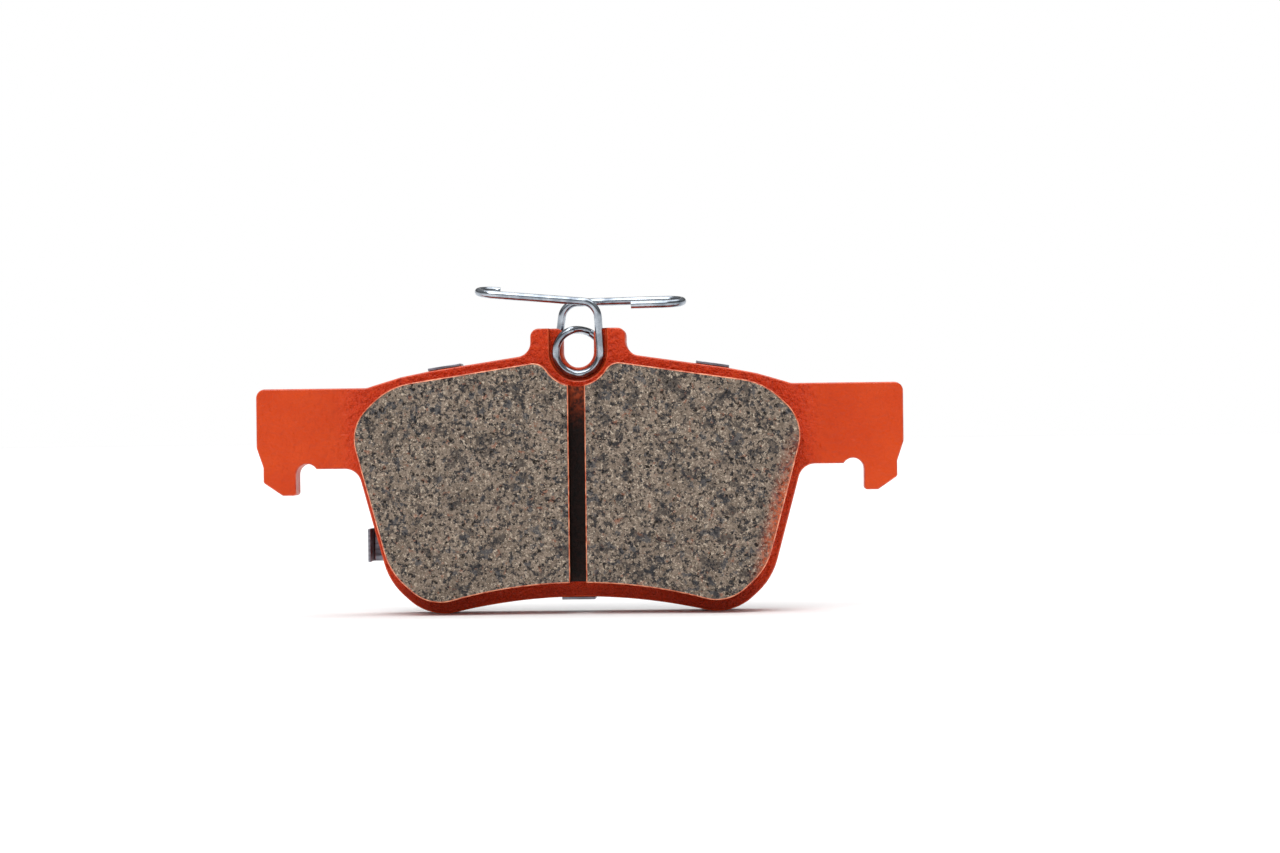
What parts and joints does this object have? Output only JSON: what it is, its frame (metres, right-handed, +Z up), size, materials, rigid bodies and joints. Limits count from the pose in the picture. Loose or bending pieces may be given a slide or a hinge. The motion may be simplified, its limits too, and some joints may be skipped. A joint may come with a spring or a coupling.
{
  "type": "disc brake pad",
  "caption": "Disc brake pad: orange coated steel backing plate with hooked ears, slotted friction block, coated steel shim and a wire torsion spring whose arms flex.",
  "frame": {"origin": "on the shim's rear face, on the pad's middle plane, at the height of the piston's centre line", "axes": "+X along the pad, +Z up towards the spring, +Y out of the rear face towards the piston; the friction face looks along -Y"},
  "size_m": [0.1228, 0.0166, 0.0621],
  "materials": {
    "plate_coating": "semi-gloss powder coat with fine orange peel",
    "underlayer": "rough, with overspray",
    "friction": "ground matte, speckled",
    "shim_rubber": "fine matte",
    "shim_steel": "satin",
    "spring_wire": "bright zinc plated"
  },
  "bodies": {
    "pad": {"backing_plate": "plate_coating", "underlayer": "underlayer", "friction_block": "friction", "shim_coat_inner": "shim_rubber", "shim_core": "shim_steel", "shim_coat_outer": "shim_rubber"},
    "front_arm": {"spring_front_arm": "spring_wire"},
    "rear_arm": {"spring_rear_arm": "spring_wire"}
  },
  "joints": [
    {"name": "front_arm_flex", "type": "hinge", "parent": "pad", "child": "front_arm", "pos_m": [0, -0.0067, 0.0233], "axis": [0, -1, 0], "range_deg": [0, 10], "stiffness_Nm_per_rad": 1.24},
    {"name": "rear_arm_flex", "type": "hinge", "parent": "pad", "child": "rear_arm", "pos_m": [0, 0.0001, 0.0233], "axis": [0, 1, 0], "range_deg": [0, 10], "stiffness_Nm_per_rad": 1.24}
  ]
}
